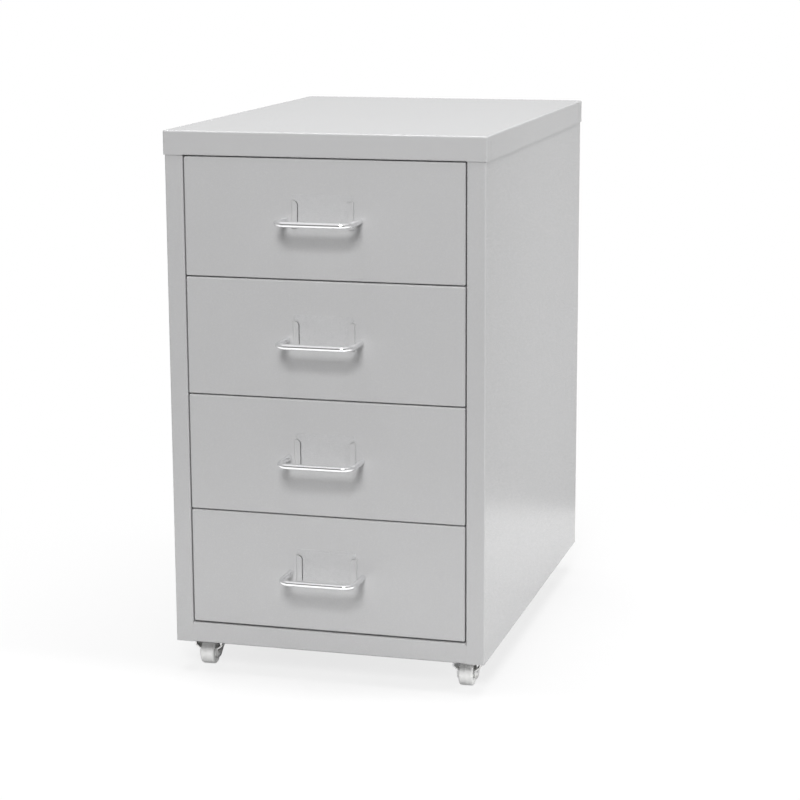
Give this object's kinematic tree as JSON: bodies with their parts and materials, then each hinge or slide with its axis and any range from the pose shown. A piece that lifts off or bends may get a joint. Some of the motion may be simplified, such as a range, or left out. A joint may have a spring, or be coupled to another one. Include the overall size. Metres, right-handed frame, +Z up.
{
  "type": "drawer cabinet",
  "caption": "Upright sheet steel drawer cabinet with stacked sliding drawers, wire pull handles and lanced label tabs, standing on small swivel castors.",
  "frame": {"origin": "on the floor, under the middle of the footprint, which counts the handles in front and the screw heads behind", "axes": "+X to the right seen from the front, +Y to the back, +Z up; the drawers pull out along -Y"},
  "size_m": [0.28, 0.4462, 0.476],
  "materials": {
    "powder_coat": "light grey powder coat, fine satin texture, on folded sheet steel",
    "chromed_wire": "bright chromed steel wire",
    "zinc_plate": "bright zinc plated pressed steel",
    "white_plastic": "off-white moulded nylon",
    "clear_plastic": "thin clear plastic sheet"
  },
  "bodies": {
    "cabinet": {"top_cover": "powder_coat", "side_panel_left": "powder_coat", "side_panel_right": "powder_coat", "bottom_panel": "powder_coat", "back_panel": "powder_coat", "back_panel_screws": "zinc_plate", "cover_screws": "zinc_plate", "castor_rivets": "zinc_plate", "runner_left_1": "powder_coat", "runner_right_1": "powder_coat", "runner_left_2": "powder_coat", "runner_right_2": "powder_coat", "runner_left_3": "powder_coat", "runner_right_3": "powder_coat", "runner_left_4": "powder_coat", "runner_right_4": "powder_coat", "castor_plate_front_left": "zinc_plate", "castor_kingpin_front_left": "zinc_plate", "castor_plate_front_right": "zinc_plate", "castor_kingpin_front_right": "zinc_plate", "castor_plate_rear_left": "zinc_plate", "castor_kingpin_rear_left": "zinc_plate", "castor_plate_rear_right": "zinc_plate", "castor_kingpin_rear_right": "zinc_plate"},
    "drawer_1": {"drawer_front_1": "powder_coat", "drawer_tray_1": "powder_coat", "handle_1": "chromed_wire", "handle_nuts_1": "zinc_plate", "label_sleeve_1": "clear_plastic"},
    "drawer_2": {"drawer_front_2": "powder_coat", "drawer_tray_2": "powder_coat", "handle_2": "chromed_wire", "handle_nuts_2": "zinc_plate", "label_sleeve_2": "clear_plastic"},
    "drawer_3": {"drawer_front_3": "powder_coat", "drawer_tray_3": "powder_coat", "handle_3": "chromed_wire", "handle_nuts_3": "zinc_plate", "label_sleeve_3": "clear_plastic"},
    "drawer_4": {"drawer_front_4": "powder_coat", "drawer_tray_4": "powder_coat", "handle_4": "chromed_wire", "handle_nuts_4": "zinc_plate", "label_sleeve_4": "clear_plastic"},
    "fork_front_left": {"castor_fork_front_left": "zinc_plate", "castor_axle_front_left": "zinc_plate"},
    "wheel_front_left": {"castor_wheel_front_left": "white_plastic"},
    "fork_front_right": {"castor_fork_front_right": "zinc_plate", "castor_axle_front_right": "zinc_plate"},
    "wheel_front_right": {"castor_wheel_front_right": "white_plastic"},
    "fork_rear_left": {"castor_fork_rear_left": "zinc_plate", "castor_axle_rear_left": "zinc_plate"},
    "wheel_rear_left": {"castor_wheel_rear_left": "white_plastic"},
    "fork_rear_right": {"castor_fork_rear_right": "zinc_plate", "castor_axle_rear_right": "zinc_plate"},
    "wheel_rear_right": {"castor_wheel_rear_right": "white_plastic"}
  },
  "joints": [
    {"name": "drawer_1_slide", "type": "slide", "parent": "cabinet", "child": "drawer_1", "axis": [0, -1, 0], "range_m": [0, 0.29]},
    {"name": "drawer_2_slide", "type": "slide", "parent": "cabinet", "child": "drawer_2", "axis": [0, -1, 0], "range_m": [0, 0.29]},
    {"name": "drawer_3_slide", "type": "slide", "parent": "cabinet", "child": "drawer_3", "axis": [0, -1, 0], "range_m": [0, 0.29]},
    {"name": "drawer_4_slide", "type": "slide", "parent": "cabinet", "child": "drawer_4", "axis": [0, -1, 0], "range_m": [0, 0.29]},
    {"name": "castor_swivel_front_left", "type": "hinge", "parent": "cabinet", "child": "fork_front_left", "pos_m": [-0.118, -0.15165, 0.028], "axis": [0, 0, 1], "continuous": true},
    {"name": "castor_roll_front_left", "type": "hinge", "parent": "fork_front_left", "child": "wheel_front_left", "pos_m": [-0.118, -0.15965, 0.0105], "axis": [1, 0, 0], "continuous": true},
    {"name": "castor_swivel_front_right", "type": "hinge", "parent": "cabinet", "child": "fork_front_right", "pos_m": [0.118, -0.15165, 0.028], "axis": [0, 0, 1], "continuous": true},
    {"name": "castor_roll_front_right", "type": "hinge", "parent": "fork_front_right", "child": "wheel_front_right", "pos_m": [0.118, -0.15965, 0.0105], "axis": [1, 0, 0], "continuous": true},
    {"name": "castor_swivel_rear_left", "type": "hinge", "parent": "cabinet", "child": "fork_rear_left", "pos_m": [-0.111, 0.18435, 0.028], "axis": [0, 0, 1], "continuous": true},
    {"name": "castor_roll_rear_left", "type": "hinge", "parent": "fork_rear_left", "child": "wheel_rear_left", "pos_m": [-0.111, 0.17635, 0.0105], "axis": [1, 0, 0], "continuous": true},
    {"name": "castor_swivel_rear_right", "type": "hinge", "parent": "cabinet", "child": "fork_rear_right", "pos_m": [0.111, 0.18435, 0.028], "axis": [0, 0, 1], "continuous": true},
    {"name": "castor_roll_rear_right", "type": "hinge", "parent": "fork_rear_right", "child": "wheel_rear_right", "pos_m": [0.111, 0.17635, 0.0105], "axis": [1, 0, 0], "continuous": true}
  ]
}
